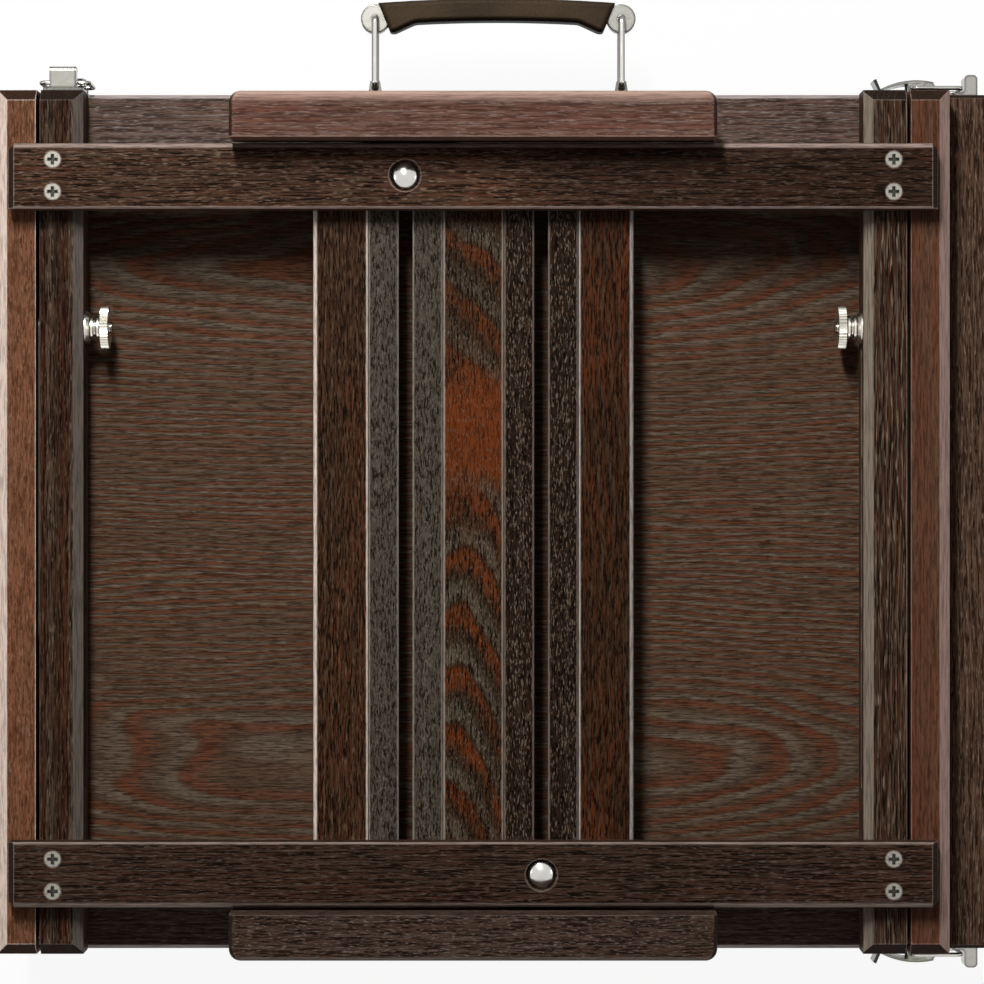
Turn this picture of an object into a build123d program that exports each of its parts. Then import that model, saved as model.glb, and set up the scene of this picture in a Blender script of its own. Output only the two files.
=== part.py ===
from build123d import *
import math
import os

# A table box easel lying flat and face up: a shallow hardwood box with a drawer in its right end.
# A tilting frame on top carries two sliding masts that clamp a canvas between two blocks.
# Millimetres. +X is right, +Y is away from the user, +Z is up.
# The origin is the middle of the box body, on the table plane under the rubber feet.

# Box body
body_length = 430.0
body_depth = 390.0
foot_height = 5.0
foot_radius = 9.0
foot_inset = 24.0
bottom_thickness = 4.0
wall_thickness = 12.0
wall_height = 64.0
finger_count = 8
top_frame_thickness = 12.0
top_rail_width = 45.0
top_stile_width = 38.0
top_edge_chamfer = 1.6
panel_thickness = 3.0
panel_recess = 8.0
panel_tongue = 6.0
panel_play = 0.1

# Drawer
drawer_front_thickness = 20.0
drawer_front_gap = 0.5
drawer_front_chamfer = 1.6
drawer_side_thickness = 10.0
drawer_side_play = 0.5
drawer_floor_play = 3.0
drawer_top_play = 5.0
drawer_end_play = 9.0
drawer_bottom_thickness = 3.0
drawer_back_thickness = 8.0
divider_thickness = 5.0
divider_height = 40.0
tray_depth = 120.0
runner_height = 10.0
runner_bite = 5.0
runner_play = 0.3

# Side rails fixed on the box and uprights of the tilting frame
side_rail_width = 18.0
side_rail_height = 23.8
side_rail_chamfer = 5.0
upright_width = 19.2
upright_seat_gap = 0.3
frame_face_level = 24.0
upright_chamfer = 4.0
end_chamfer = 5.0
stay_gap = 1.8

# Tilt hinge and stays
pivot_inset = 6.0
pivot_height = 12.0
pivot_pin_radius = 2.5
pivot_pin_play = 0.06
pivot_pin_length = 28.0
pivot_round_play = 0.3
stay_length = 138.5
stay_thickness = 1.2
stay_width = 11.0
rivet_radius = 2.5
rivet_head_radius = 3.6
rivet_head_thickness = 0.5
rivet_length = 7.0
rivet_play = 0.06
stud_radius = 2.5
stud_slot_width = 6.3
stud_slot_play = 0.5
max_tilt = 75.0

# Knurled nuts on the stays
cone_washer_radius = 7.4
cone_washer_thickness = 2.2
washer_play = 0.1
nut_bead_radius = 5.5
nut_neck_radius = 4.2
nut_neck_length = 5.0
nut_wheel_radius = 9.6
nut_wheel_thickness = 3.6
nut_bore_play = 0.07
knurl_count = 40
knurl_depth = 0.45
stud_tip = 1.2

# Crossbars
crossbar_overhang = 12.8
crossbar_width = 29.5
crossbar_thickness = 12.0
crossbar_chamfer = 3.6
crossbar_end_chamfer = 2.7
crossbar_inner_chamfer = 0.8
upper_crossbar_inset = 40.1
lower_crossbar_inset = 37.3
screw_inset = 11.9
screw_spacing = 14.4
screw_head_radius = 3.7
screw_head_depth = 2.6
screw_radius = 2.0
screw_length = 26.0

# Guides and masts
centre_guide_width = 27.0
side_guide_width = 24.8
guide_thickness = 12.0
guide_round = 3.0
edge_ease = 0.6
mast_width = 33.5
mast_play = 0.25
mast_thickness = 8.7
mast_face_drop = 0.3
mast_tongue = 3.0
mast_tongue_height = 4.0
mast_slot_width = 6.3
mast_slot_end_play = 0.35
mast_tail = 20.0
slot_end_inset = 12.6

# Canvas blocks
block_length = 216.0
block_width = 20.5
block_height = 31.0
block_corner = 5.3
block_chamfer = 3.0
block_gap = 0.8
block_relief = 0.5
block_screw_spacing = 18.0
block_screw_radius = 1.8
block_screw_head_radius = 3.5
block_screw_head_depth = 2.4
block_screw_length = 24.0

# Clamp bolts behind the masts
bolt_radius = 3.0
bolt_head_radius = 6.4
bolt_head_height = 2.2
bolt_recess_radius = 7.2
bolt_recess_depth = 2.3
clamp_washer_radius = 9.0
clamp_washer_thickness = 1.4
clamp_nut_radius = 9.5
clamp_nut_thickness = 8.6
clamp_play = 0.1
clamp_bore_play = 0.08
clamp_lobes = 6
bolt_tip = 1.2

# Carrying handle on the far wall
handle_left_x = -45.8
handle_right_x = 68.4
handle_drop = 18.0
bail_foot = 6.0
bail_reach = 32.3
bail_half_gap = 8.2
bail_wire_radius = 1.5
bail_bend = 2.6
bail_play = 0.1
barrel_radius = 6.7
barrel_length = 6.0
grip_thickness = 10.1
grip_width = 12.2
grip_arch = 2.1
grip_lip = 4.6
grip_overlap = 2.8
grip_round = 2.4
grip_lip_round = 1.1
grip_bend = 8.0
bracket_length = 45.0
bracket_height = 20.0
bracket_thickness = 1.6
bracket_bridge_base = 7.4
bracket_bridge_top = 4.4
bracket_screw_offset = 18.0
bracket_dome_radius = 4.4
bracket_dome_height = 2.6
bracket_screw_length = 10.0

# Draw latches
latch_width = 18.0
latch_plate_thickness = 1.2
latch_base_length = 22.5
latch_seam_gap = 2.5
latch_pivot_back = 5.5
latch_pivot_height = 4.4
latch_ear_thickness = 1.2
latch_ear_radius = 3.2
latch_pin_radius = 1.2
latch_pin_play = 0.06
lever_width = 13.0
lever_sheet = 1.4
lever_length = 25.5
lever_bow = 2.2
lever_tab_height = 5.4
loop_wire_radius = 1.0
loop_back = 7.5
loop_reach = 22.2
loop_bend = 2.2
loop_side_play = 0.8
catch_plate_length = 16.5
catch_crown_length = 4.6
catch_play = 0.3
catch_block_length = 6.0
catch_block_width = 12.0
catch_block_height = 11.0
catch_block_gap = 1.0
latch_drop = 23.0
latch_screw_radius = 1.1
latch_screw_head_radius = 1.9
latch_screw_head_height = 1.3
latch_screw_length = 9.0
latch_screw_spacing = 10.4
latch_base_screw_back = 20.0
latch_catch_screw_on = 4.6

# Levels and lines worked out from the sizes above
half_length = body_length / 2
half_depth = body_depth / 2
bottom_top = foot_height + bottom_thickness
wall_top = bottom_top + wall_height
box_top = wall_top + top_frame_thickness
panel_top = box_top - panel_recess
frame_face = box_top + frame_face_level
side_rail_inner = half_length - side_rail_width
upright_outer = side_rail_inner - stay_gap
upright_inner = upright_outer - upright_width
upright_back = box_top + upright_seat_gap
crossbar_length = 2 * (upright_outer + crossbar_overhang)
screw_x = upright_inner + screw_inset
upper_crossbar_y = half_depth - upper_crossbar_inset
lower_crossbar_y = -half_depth + lower_crossbar_inset
mast_travel = upper_crossbar_y - lower_crossbar_y - slot_end_inset
handle_height = wall_top - handle_drop
latch_height = box_top - latch_drop
pivot_y = -half_depth + pivot_inset
pivot_z = box_top + pivot_height
stay_pivot_y = pivot_y + stay_length
stud_y = pivot_y + 2 * stay_length
stay_inner = upright_outer + (stay_gap - stay_thickness) / 2
crossbar_face = frame_face + crossbar_thickness
mast_x = centre_guide_width / 2 + mast_play + mast_width / 2
side_guide_inner = centre_guide_width / 2 + 2 * mast_play + mast_width
guide_back = frame_face - guide_thickness
guide_top = upper_crossbar_y + crossbar_width / 2
guide_bottom = lower_crossbar_y - crossbar_width / 2
mast_face = frame_face - mast_face_drop
mast_back = mast_face - mast_thickness
wall_inner = half_depth - wall_thickness
drawer_face = half_length + drawer_front_gap
far_y = half_depth


def slab(x, y, z):
    """A plain board from three (low, high) pairs."""
    size = [b - a for a, b in (x, y, z)]
    middle = [(a + b) / 2 for a, b in (x, y, z)]
    return Pos(*middle) * Box(*size)


def rod(start, end, radius):
    """A round bar between two points."""
    line = Vector(*end) - Vector(*start)
    place = Plane(origin=start, z_dir=line)
    return extrude(place * Circle(radius), line.length)


def edges_at(shape, along, **place):
    """Edges of a shape that run along one axis and lie at the given coordinates."""
    found = shape.edges().filter_by(along)
    for name, value in place.items():
        found = found.filter_by(
            lambda e, n=name, v=value: abs(getattr(e.center(), n.upper()) - v) < 0.01
        )
    return found


def eased(shape, size, along, **place):
    """The shape with a chamfer on the edges at a place."""
    return chamfer(edges_at(shape, along, **place), size)


def mirrored(shape):
    """The same shape on the other side of the middle plane."""
    return mirror(shape, about=Plane.YZ)


def turned_profile(points, place):
    """A solid turned about the place's Z axis from (radius, height) points."""
    outline = make_face(Polyline(*points, close=True))
    return place * revolve(Plane.XZ * outline, Axis.Z)


pieces = {}


def keep(name, *solids):
    """Stores a sub-part, made of one or more separate solids, under its name."""
    pieces[name] = Compound(children=list(solids)) if len(solids) > 1 else solids[0]


# Box body: a floor, three walls with finger joints at the left corners, and a frame-and-panel top
finger_height = wall_height / finger_count


def fingers(first):
    """Blocks at every other finger, at both left corners."""
    cuts = []
    for i in range(first, finger_count, 2):
        z = (bottom_top + i * finger_height, bottom_top + (i + 1) * finger_height)
        x = (-half_length, -half_length + wall_thickness)
        cuts += [slab(x, (wall_inner, half_depth), z), slab(x, (-half_depth, -wall_inner), z)]
    return cuts


def box_floor():
    return slab((-half_length, half_length), (-half_depth, half_depth), (foot_height, bottom_top))


def long_wall(side):
    """The far wall for side 1 and the near wall for side -1."""
    y = sorted((side * wall_inner, side * half_depth))
    return slab((-half_length, half_length), y, (bottom_top, wall_top)) - fingers(0)


def left_wall():
    wall = slab(
        (-half_length, -half_length + wall_thickness),
        (-half_depth, half_depth),
        (bottom_top, wall_top),
    )
    return wall - fingers(1)


def panel_field():
    """Half sizes of the opening in the top frame."""
    return half_length - top_stile_width, half_depth - top_rail_width


def panel_groove():
    """The groove in the top frame that holds the panel's tongue."""
    x, y = panel_field()
    x, y = x + panel_tongue, y + panel_tongue
    play = panel_play
    return slab((-x, x), (-y, y), (panel_top - panel_thickness - play, panel_top + play))


def top_rail(side):
    x, y = panel_field()
    y = sorted((side * y, side * half_depth))
    rail = slab((-x, x), y, (wall_top, box_top)) - panel_groove()
    return eased(rail, top_edge_chamfer, Axis.X, y=side * half_depth, z=box_top)


def top_stile(side):
    x, y = panel_field()
    x = sorted((side * x, side * half_length))
    return slab(x, (-half_depth, half_depth), (wall_top, box_top)) - panel_groove()


def top_panel():
    x, y = (v + panel_tongue - panel_play for v in panel_field())
    return slab((-x, x), (-y, y), (panel_top - panel_thickness, panel_top))


def rubber_feet():
    x = half_length - foot_inset
    y = half_depth - foot_inset
    foot = Cylinder(foot_radius, foot_height, align=(Align.CENTER, Align.CENTER, Align.MIN))
    foot = chamfer(foot.edges().sort_by(Axis.Z)[0], foot_height / 5)
    return [Pos(sx * x, sy * y, 0) * foot for sx in (-1, 1) for sy in (-1, 1)]


keep("box_floor", box_floor())
keep("far_wall", long_wall(1))
keep("near_wall", long_wall(-1))
keep("left_wall", left_wall())
keep("top_rails", top_rail(1), top_rail(-1))
keep("top_stiles", top_stile(-1), top_stile(1))
keep("top_panel", top_panel())
keep("rubber_feet", *rubber_feet())

# Drawer: a full-depth front board, a tray behind it and dividers, on two runners
drawer_side_y = wall_inner - drawer_side_play
drawer_low = bottom_top + drawer_floor_play
drawer_high = wall_top - drawer_top_play
drawer_back_x = -half_length + wall_thickness + drawer_end_play
drawer_floor_top = drawer_low + drawer_bottom_thickness
drawer_inner_y = drawer_side_y - drawer_side_thickness
runner_z = (drawer_floor_top + drawer_high) / 2


def drawer_runner(side):
    y = sorted((side * wall_inner, side * (drawer_side_y - runner_bite + runner_play)))
    z = (runner_z - runner_height / 2, runner_z + runner_height / 2)
    return slab((drawer_back_x, half_length - runner_height), y, z)


def drawer_front():
    board = slab(
        (drawer_face, drawer_face + drawer_front_thickness),
        (-half_depth, half_depth),
        (foot_height, box_top),
    )
    outer = drawer_face + drawer_front_thickness
    for z in (foot_height, box_top):
        board = eased(board, drawer_front_chamfer, Axis.Y, x=outer, z=z)
    for y in (-half_depth, half_depth):
        board = eased(board, drawer_front_chamfer, Axis.X, y=y, z=box_top)
    return board


def drawer_side(side):
    y = sorted((side * drawer_side_y, side * drawer_inner_y))
    board = slab((drawer_back_x, drawer_face), y, (drawer_floor_top, drawer_high))
    groove_y = sorted((side * drawer_side_y, side * (drawer_side_y - runner_bite)))
    half = runner_height / 2 + runner_play
    groove_x = (drawer_back_x, half_length - runner_height + runner_play)
    return board - slab(groove_x, groove_y, (runner_z - half, runner_z + half))


def drawer_floor():
    y = drawer_side_y
    return slab((drawer_back_x, drawer_face), (-y, y), (drawer_low, drawer_floor_top))


def drawer_back():
    x = (drawer_back_x, drawer_back_x + drawer_back_thickness)
    return slab(x, (-drawer_inner_y, drawer_inner_y), (drawer_floor_top, drawer_high))


tray_y = -drawer_inner_y + tray_depth
bay_left = drawer_back_x + drawer_back_thickness
bay_third = (drawer_face - bay_left) / 3


def dividers():
    """One long divider beside the brush tray, and two short ones across the paint bays."""
    z = (drawer_floor_top, drawer_floor_top + divider_height)
    half = divider_thickness / 2
    boards = [slab((bay_left, drawer_face), (tray_y - half, tray_y + half), z)]
    for i in (1, 2):
        x = bay_left + i * bay_third
        boards.append(slab((x - half, x + half), (tray_y + half, drawer_inner_y), z))
    return boards


keep("drawer_runners", drawer_runner(1), drawer_runner(-1))
keep("drawer_front", drawer_front())
keep("drawer_side_far", drawer_side(1))
keep("drawer_side_near", drawer_side(-1))
keep("drawer_back", drawer_back())
keep("drawer_floor", drawer_floor())
keep("drawer_dividers", *dividers())

# Side rails on the box, and the hinge pins that the frame tilts on
pin_start = upright_inner + (upright_width - pivot_pin_length / 2) / 2
rail_top = box_top + side_rail_height
rivet_start = stay_inner + (stay_gap - stay_thickness) / 6


def hinge_pin():
    end = (pin_start + pivot_pin_length, pivot_y, pivot_z)
    return rod((pin_start, pivot_y, pivot_z), end, pivot_pin_radius)


def stay_rivet():
    """The rivet that the stay turns on: its head sinks into the stay, and its shank holds in the rail."""
    shoulder = rivet_start + rivet_head_thickness
    neck = (shoulder, stay_pivot_y, pivot_z)
    tip = (side_rail_inner + rivet_length, stay_pivot_y, pivot_z)
    head = rod((rivet_start, stay_pivot_y, pivot_z), neck, rivet_head_radius)
    return head + rod(neck, tip, rivet_radius)


def side_rail():
    """The right one; the left one is its mirror image."""
    rail = slab((side_rail_inner, half_length), (-half_depth, half_depth), (box_top, rail_top))
    rail = eased(rail, side_rail_chamfer, Axis.Y, x=half_length, z=rail_top)
    for y in (-half_depth, half_depth):
        rail = eased(rail, end_chamfer, Axis.X, y=y, z=rail_top)
    return rail - hinge_pin() - stay_rivet()


keep("side_rail_right", side_rail())
keep("side_rail_left", mirrored(side_rail()))
keep("hinge_pins", hinge_pin(), mirrored(hinge_pin()))
keep("stay_rivets", stay_rivet(), mirrored(stay_rivet()))

# Tilting frame: two uprights, two crossbars screwed across them, and three guides for the masts
stud_low_y = pivot_y + 2 * stay_length * math.cos(math.radians(max_tilt))


def pivot_clearance():
    """What comes off the upright's lower near corner, so that it can turn above the box."""
    corner = slab(
        (upright_inner, upright_outer),
        (-half_depth, pivot_y),
        (upright_back, pivot_z),
    )
    start = (upright_inner, pivot_y, pivot_z)
    return corner - rod(start, (upright_outer, pivot_y, pivot_z), pivot_height - pivot_round_play)


def across(x, y, z):
    """A plane with its normal along +X and its own X along +Y, for shapes seen from the side."""
    return Plane(origin=(x, y, z), x_dir=(0, 1, 0), z_dir=(1, 0, 0))


def stud_slot():
    length = stud_y - stud_low_y + 2 * stud_slot_play
    place = across(upright_inner, (stud_y + stud_low_y) / 2, pivot_z)
    return extrude(place * SlotCenterToCenter(length, stud_slot_width), upright_width)


def upright():
    """The right one; the left one is its mirror image."""
    bar = slab((upright_inner, upright_outer), (-half_depth, half_depth), (upright_back, frame_face))
    for y in (-half_depth, half_depth):
        bar = eased(bar, end_chamfer, Axis.X, y=y, z=frame_face)
    bar = eased(bar, upright_chamfer, Axis.Y, x=upright_inner, z=frame_face)
    start = (upright_inner, pivot_y, pivot_z)
    bore = rod(start, (upright_outer, pivot_y, pivot_z), pivot_pin_radius + pivot_pin_play)
    return bar - pivot_clearance() - stud_slot() - bore


screw_places = [
    (side * screw_x, bar_y + step * screw_spacing / 2)
    for side in (-1, 1)
    for bar_y in (upper_crossbar_y, lower_crossbar_y)
    for step in (-1, 1)
]


def cross_recess(radius, depth):
    """A cross-shaped driver recess, to be cut down from z 0."""
    arm = Box(radius * 1.25, radius * 0.36, depth, align=(Align.CENTER, Align.CENTER, Align.MAX))
    return arm + Rot(0, 0, 90) * arm


def wood_screw(radius, head_radius, head_depth, length):
    """A countersunk screw, head up, its face at z 0."""
    rim = head_depth / 6
    outline = [
        (0, 0),
        (head_radius, 0),
        (head_radius, -rim),
        (radius, -head_depth),
        (radius, -length + 2 * radius),
        (0, -length),
    ]
    return turned_profile(outline, Plane.XY)


def frame_screw():
    return wood_screw(screw_radius, screw_head_radius, screw_head_depth, screw_length)


def frame_screws():
    return [Pos(x, y, crossbar_face) * frame_screw() for x, y in screw_places]


def driven(screw, head_radius):
    """The screw with its driver recess."""
    return screw - cross_recess(head_radius, head_radius * 0.45)


def dome(radius, height):
    """A round-topped head standing on z 0."""
    ball = (radius**2 + height**2) / (2 * height)
    half = math.asin(radius / ball) / 2
    middle = (ball * math.sin(half), height - ball + ball * math.cos(half))
    curve = ThreePointArc((radius, 0), middle, (0, height))
    face = make_face(curve + Polyline((0, height), (0, 0), (radius, 0)))
    return revolve(Plane.XZ * face, Axis.Z)


bolt_places = [(-mast_x, upper_crossbar_y), (mast_x, lower_crossbar_y)]
recess_floor = crossbar_face - bolt_recess_depth
washer_top = mast_back - clamp_play
nut_top = washer_top - clamp_washer_thickness - clamp_play
nut_low = nut_top - clamp_nut_thickness


def clamp_bolt(x, y):
    """A domed carriage bolt through the crossbar and the mast's slot."""
    shank = rod((x, y, nut_low - bolt_tip), (x, y, recess_floor), bolt_radius)
    return Pos(x, y, recess_floor) * dome(bolt_head_radius, bolt_head_height) + shank


def clamp_washer(x, y):
    low = washer_top - clamp_washer_thickness
    ring = Circle(clamp_washer_radius) - Circle(bolt_radius + clamp_bore_play)
    return Pos(x, y, low) * extrude(ring, clamp_washer_thickness)


def clamp_nut(x, y):
    """A lobed knob, turned by hand from behind the frame."""
    face = Circle(clamp_nut_radius)
    scallop = clamp_nut_radius * math.sin(math.pi / clamp_lobes) * 0.55
    for i in range(clamp_lobes):
        turn = 360 / clamp_lobes * i
        face -= Rot(0, 0, turn) * Pos(clamp_nut_radius + scallop / 2, 0) * Circle(scallop)
    knob = extrude(face - Circle(bolt_radius + clamp_bore_play), clamp_nut_thickness)
    return Pos(x, y, nut_low) * knob


def crossbar(y, outward):
    """outward is 1 for the upper bar, whose far edge is rounded, and -1 for the lower bar."""
    half = crossbar_width / 2
    end = crossbar_length / 2
    bar = slab((-end, end), (y - half, y + half), (frame_face, crossbar_face))
    outer, inner = y + outward * half, y - outward * half
    bar = fillet(edges_at(bar, Axis.X, y=outer, z=crossbar_face), crossbar_chamfer)
    bar = eased(bar, crossbar_inner_chamfer, Axis.X, y=inner, z=crossbar_face)
    ends = bar.edges().filter_by(lambda e: abs(abs(e.center().X) - end) < 0.01)
    ends = ends.filter_by(Axis.Y).filter_by(lambda e: e.center().Z > crossbar_face - 0.01)
    bar = chamfer(ends, crossbar_end_chamfer)
    for screw in frame_screws():
        bar -= screw
    for bolt_x, bolt_y in bolt_places:
        if bolt_y == y:
            bar -= rod((bolt_x, y, frame_face), (bolt_x, y, recess_floor), bolt_radius)
            bar -= rod((bolt_x, y, recess_floor), (bolt_x, y, crossbar_face), bolt_recess_radius)
    return bar


def bored_upright():
    bar = upright()
    for screw in frame_screws():
        bar -= screw
    return bar


tongue_z = (mast_back + mast_face) / 2
groove_half = mast_tongue_height / 2 + mast_play


def guide_groove(edge, inward):
    """The groove for a mast's tongue, cut from x = edge in the given direction."""
    x = sorted((edge, edge + inward * mast_tongue))
    return slab(x, (guide_bottom, guide_top), (tongue_z - groove_half, tongue_z + groove_half))


def centre_guide():
    half = centre_guide_width / 2
    guide = slab((-half, half), (guide_bottom, guide_top), (guide_back, frame_face))
    for x in (-half, half):
        guide = eased(guide, edge_ease, Axis.Y, x=x, z=frame_face)
    return guide - guide_groove(half, -1) - guide_groove(-half, 1)


def side_guide():
    """The right one; the left one is its mirror image."""
    outer = side_guide_inner + side_guide_width
    guide = slab((side_guide_inner, outer), (guide_bottom, guide_top), (guide_back, frame_face))
    guide = fillet(edges_at(guide, Axis.Y, x=outer, z=frame_face), guide_round)
    guide = eased(guide, edge_ease, Axis.Y, x=side_guide_inner, z=frame_face)
    return guide - guide_groove(side_guide_inner, 1)


keep("upright_right", bored_upright())
keep("upright_left", mirrored(bored_upright()))
keep("crossbar_upper", crossbar(upper_crossbar_y, 1))
keep("crossbar_lower", crossbar(lower_crossbar_y, -1))
keep("guide_centre", centre_guide())
keep("guide_right", side_guide())
keep("guide_left", mirrored(side_guide()))
slotted_screw = driven(frame_screw(), screw_head_radius)
keep("crossbar_screws", *[Pos(x, y, crossbar_face) * slotted_screw for x, y in screw_places])
keep("clamp_bolts", *[clamp_bolt(x, y) for x, y in bolt_places])
keep("clamp_washers", *[clamp_washer(x, y) for x, y in bolt_places])
keep("clamp_nut_upper", clamp_nut(*bolt_places[0]))
keep("clamp_nut_lower", clamp_nut(*bolt_places[1]))

# Masts and canvas blocks. Both masts are the same strip, and they slide in opposite directions
block_inner_y = guide_top + block_gap
block_outer_y = block_inner_y + block_width
slot_reach = mast_travel + 2 * mast_slot_end_play
block_top = mast_face + block_height


def mast(bolt_x, bolt_y, outward, tip_y):
    """A slotted strip with a tongue on each long edge. It reaches tip_y past its clamp bolt."""
    near_end = bolt_y + outward * mast_slot_end_play
    far_end = near_end - outward * slot_reach
    tail_y = far_end - outward * (mast_slot_width / 2 + mast_tail)
    y = sorted((tip_y, tail_y))
    half = mast_width / 2
    strip = slab((bolt_x - half, bolt_x + half), y, (mast_back, mast_face))
    tongue = (tongue_z - mast_tongue_height / 2, tongue_z + mast_tongue_height / 2)
    wing = half + mast_tongue - mast_play
    strip += slab((bolt_x - wing, bolt_x + wing), y, tongue)
    slot = SlotCenterToCenter(slot_reach, mast_slot_width, rotation=90)
    strip -= Pos(bolt_x, (near_end + far_end) / 2, mast_back) * extrude(slot, mast_thickness)
    # The slot's rim is one smooth loop, so easing one of its edges eases it all round
    for x in (-half, half, mast_slot_width / 2):
        strip = eased(strip, edge_ease, Axis.Y, x=bolt_x + x, z=mast_face)
    return strip


def block_screw_places(x, middle_y):
    step = block_screw_spacing / 2
    return [(x - step, middle_y), (x + step, middle_y)]


def block_screw():
    return wood_screw(
        block_screw_radius,
        block_screw_head_radius,
        block_screw_head_depth,
        block_screw_length,
    )


def canvas_block(inner_y, outward):
    """A block across the masts. Its foot stands back a little, so that it clears the crossbar."""
    outer_y = inner_y + outward * block_width
    y = sorted((inner_y, outer_y))
    half = block_length / 2
    block = slab((-half, half), y, (mast_face, block_top))
    corners = edges_at(block, Axis.Z, y=outer_y)
    block = fillet(corners, block_corner)
    front = block.edges().filter_by(lambda e: abs(e.center().Z - block_top) < 0.01)
    rim = front.filter_by(lambda e: abs(e.center().Y - inner_y) > 0.01)
    foot_y = sorted((inner_y, inner_y + outward * block_relief))
    foot_top = crossbar_face + block_relief
    return fillet(rim, block_chamfer) - slab((-half, half), foot_y, (mast_face, foot_top))


lower_block_y = guide_bottom - block_gap
mast_builds = [
    ("upper", -mast_x, upper_crossbar_y, 1, block_inner_y),
    ("lower", mast_x, lower_crossbar_y, -1, lower_block_y),
]
for name, x, bolt_y, outward, inner_y in mast_builds:
    tip_y = inner_y + outward * (block_width - block_gap)
    middle_y = inner_y + outward * block_width / 2
    strip = mast(x, bolt_y, outward, tip_y)
    block = canvas_block(inner_y, outward)
    screws = []
    for screw_at_x, screw_at_y in block_screw_places(x, middle_y):
        place = Pos(screw_at_x, screw_at_y, mast_back) * Rot(180, 0, 0)
        strip -= place * block_screw()
        block -= place * block_screw()
        screws.append(place * driven(block_screw(), block_screw_head_radius))
    keep("mast_" + name, strip)
    keep("canvas_block_" + name, block)
    keep("block_screws_" + name, *screws)

# Stays: a flat strip beside each upright turns on its rivet, and its stud slides in the upright's slot
stay_outer = stay_inner + stay_thickness
nut_seat = washer_play + cone_washer_thickness + washer_play
wheel_start = nut_seat + nut_neck_length
nut_end = wheel_start + nut_wheel_thickness
stud_hand = Plane(origin=(upright_inner, stud_y, pivot_z), z_dir=(-1, 0, 0))


def stay():
    """The right one; the left one is its mirror image."""
    place = across(stay_inner, (stay_pivot_y + stud_y) / 2, pivot_z)
    strip = extrude(place * SlotCenterToCenter(stay_length, stay_width), stay_thickness)
    eye = (stay_inner, stay_pivot_y, pivot_z)
    sink = (rivet_start + rivet_head_thickness + rivet_play, stay_pivot_y, pivot_z)
    strip -= rod(eye, sink, rivet_head_radius + rivet_play)
    strip -= rod(sink, (stay_outer, stay_pivot_y, pivot_z), rivet_radius + rivet_play)
    return strip - stay_stud()


def stay_stud():
    tip = upright_inner - nut_end - stud_tip
    return rod((tip, stud_y, pivot_z), (stay_outer, stud_y, pivot_z), stud_radius)


def cone_washer():
    bore = stud_radius + nut_bore_play
    low, high = washer_play, washer_play + cone_washer_thickness
    rim = low + cone_washer_thickness / 3
    wide = cone_washer_radius
    narrow = cone_washer_radius - cone_washer_thickness / 2
    outline = [(bore, low), (wide, low), (wide, rim), (narrow, high), (bore, high)]
    return turned_profile(outline, stud_hand)


def knurled_nut():
    """A round thumb nut: two beads and a neck, then a wheel with a straight knurl."""
    bore = stud_radius + nut_bore_play
    bead = nut_neck_length * 0.36
    ease = bead * 0.25
    outline = [(bore, nut_seat)]
    for low in (nut_seat, wheel_start - bead - ease):
        high = low + bead
        outline += [
            (nut_bead_radius - ease, low),
            (nut_bead_radius, low + ease),
            (nut_bead_radius, high - ease),
            (nut_bead_radius - ease, high),
            (nut_neck_radius, high),
            (nut_neck_radius, high + ease),
        ]
    outline += [(bore, wheel_start)]
    points = []
    for i in range(2 * knurl_count):
        radius = nut_wheel_radius - (i % 2) * knurl_depth
        turn = math.pi * i / knurl_count
        points.append((radius * math.cos(turn), radius * math.sin(turn)))
    wheel = make_face(Polyline(*points, close=True)) - Circle(bore)
    wheel = stud_hand.offset(wheel_start) * extrude(wheel, nut_wheel_thickness)
    return turned_profile(outline, stud_hand) + wheel


keep("stay_right", stay())
keep("stay_left", mirrored(stay()))
keep("stay_stud_right", stay_stud(), cone_washer())
keep("stay_stud_left", mirrored(stay_stud()), mirrored(cone_washer()))
keep("knurled_nut_right", knurled_nut())
keep("knurled_nut_left", mirrored(knurled_nut()))

# Carrying handle: two wire bails turn in brackets on the far wall, and carry the grip between them
bail_foot_y = far_y + bail_foot
bail_top_y = bail_foot_y + bail_reach
handle_ends = [handle_left_x, handle_right_x]


def bail(x):
    """A closed wire ring in the plane across the box, with rounded corners."""
    middle_y = (bail_foot_y + bail_top_y) / 2
    place = across(x, middle_y, handle_height)
    path = place * RectangleRounded(bail_reach, 2 * bail_half_gap, bail_bend)
    start = Plane(origin=(x, middle_y, handle_height + bail_half_gap), z_dir=(0, 1, 0))
    return sweep(start * Circle(bail_wire_radius), path=path.wire())


def barrel(x):
    """The metal end piece of the grip, bored for the bail."""
    place = Pos(x, bail_top_y, handle_height)
    end = place * Cylinder(barrel_radius, barrel_length)
    end = fillet(end.edges().filter_by(GeomType.CIRCLE), barrel_length * 0.08)
    return end - place * Cylinder(bail_wire_radius + bail_play, barrel_length)


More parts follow.
